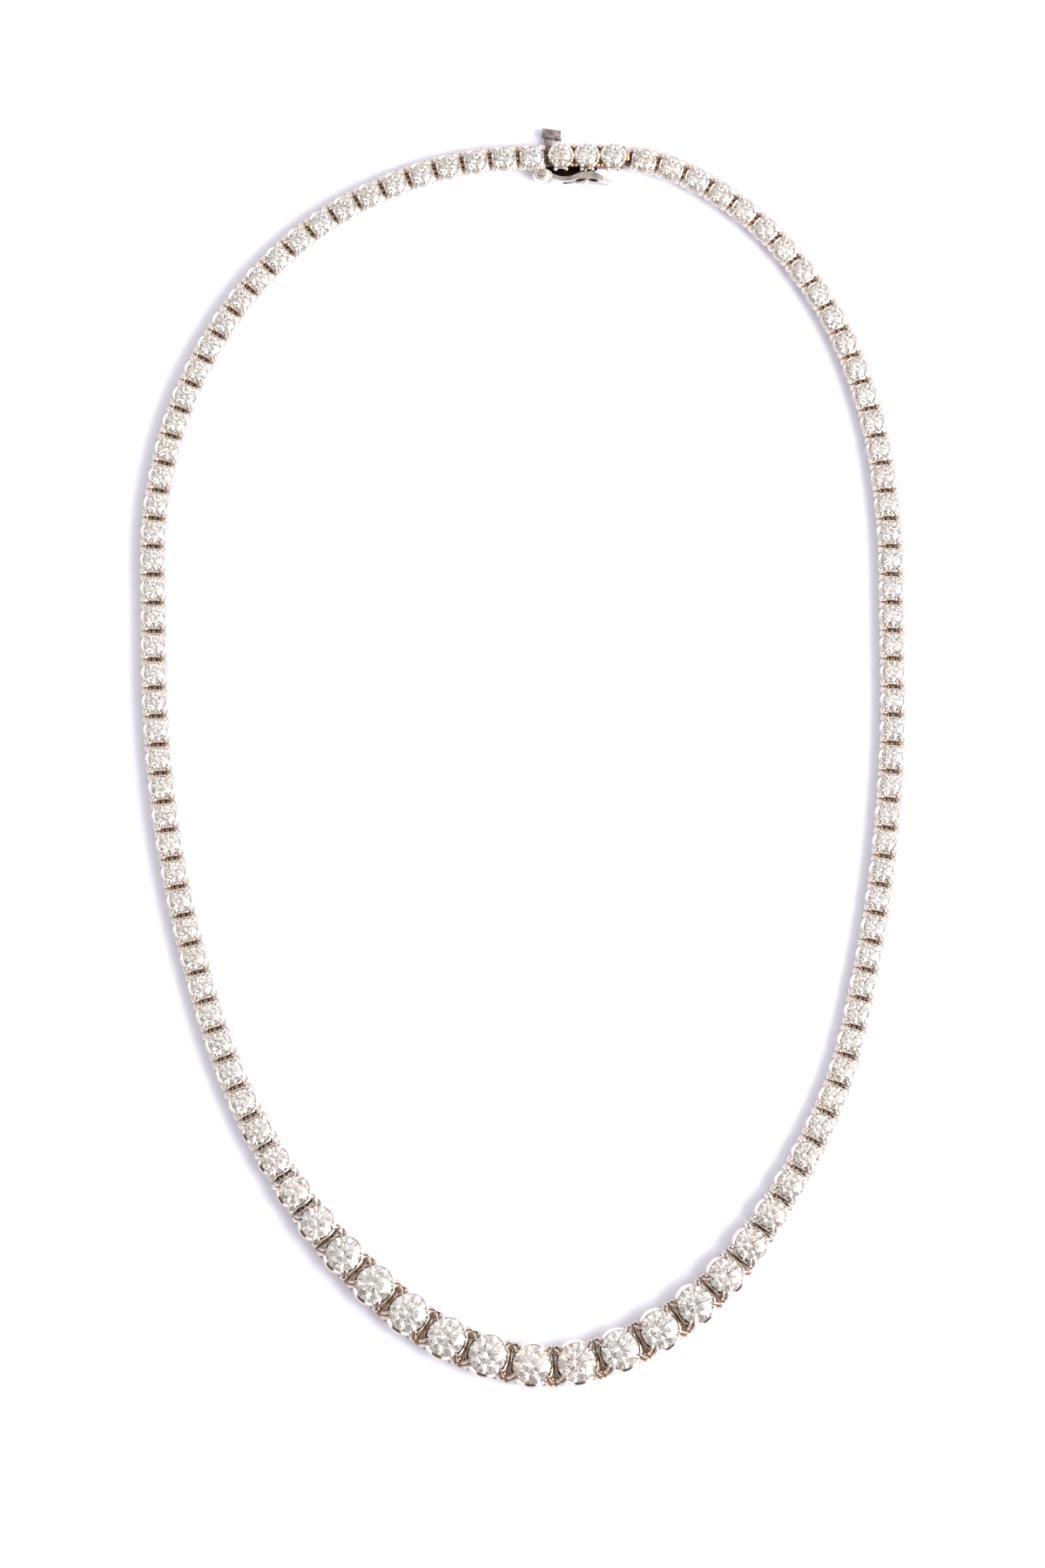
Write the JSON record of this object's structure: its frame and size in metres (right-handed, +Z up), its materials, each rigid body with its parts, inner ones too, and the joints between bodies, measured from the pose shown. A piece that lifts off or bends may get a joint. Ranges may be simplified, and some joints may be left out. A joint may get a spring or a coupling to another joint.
{
  "type": "diamond necklace",
  "caption": "Graduated line necklace of round diamonds in claw settings, each a hinged link, with a box clasp, thumb tab and figure-of-eight safety catch, lying closed in an egg-shaped loop.",
  "frame": {"origin": "middle of the loop's bounding box, on the surface that the necklace lies on", "axes": "+Z up from the surface, stones facing up; +Y from the middle of the front towards the clasp; +X to the right as seen from above with the front at the bottom"},
  "size_m": [0.1044, 0.1724, 0.0036],
  "materials": {
    "white_gold": "polished white gold",
    "diamond": "cut and polished diamond"
  },
  "bodies": {
    "necklace": {"main_link_1": "white_gold", "main_link_2": "white_gold", "main_link_3": "white_gold", "main_link_4": "white_gold", "main_link_5": "white_gold", "main_link_6": "white_gold", "main_link_7": "white_gold", "main_link_8": "white_gold", "main_link_9": "white_gold", "main_link_10": "white_gold", "main_link_11": "white_gold", "main_link_12": "white_gold", "main_link_13": "white_gold", "main_link_14": "white_gold", "main_link_15": "white_gold", "main_link_16": "white_gold", "main_link_17": "white_gold", "main_link_18": "white_gold", "main_link_19": "white_gold", "chain_left": "white_gold", "chain_right": "white_gold", "clasp_box": "white_gold", "clasp_tongue": "white_gold", "main_stone_1": "diamond", "main_stone_2": "diamond", "main_stone_3": "diamond", "main_stone_4": "diamond", "main_stone_5": "diamond", "main_stone_6": "diamond", "main_stone_7": "diamond", "main_stone_8": "diamond", "main_stone_9": "diamond", "main_stone_10": "diamond", "main_stone_11": "diamond", "main_stone_12": "diamond", "main_stone_13": "diamond", "main_stone_14": "diamond", "main_stone_15": "diamond", "main_stone_16": "diamond", "main_stone_17": "diamond", "main_stone_18": "diamond", "main_stone_19": "diamond", "stones_left": "diamond", "stones_right": "diamond", "clasp_stones": "diamond"},
    "safety_catch": {"safety_catch": "white_gold"}
  },
  "joints": [
    {"name": "safety_catch_hinge", "type": "hinge", "parent": "necklace", "child": "safety_catch", "pos_m": [0.00235, 0.07941, 0.0012], "axis": [0, 0, -1], "range_deg": [0, 120]}
  ]
}
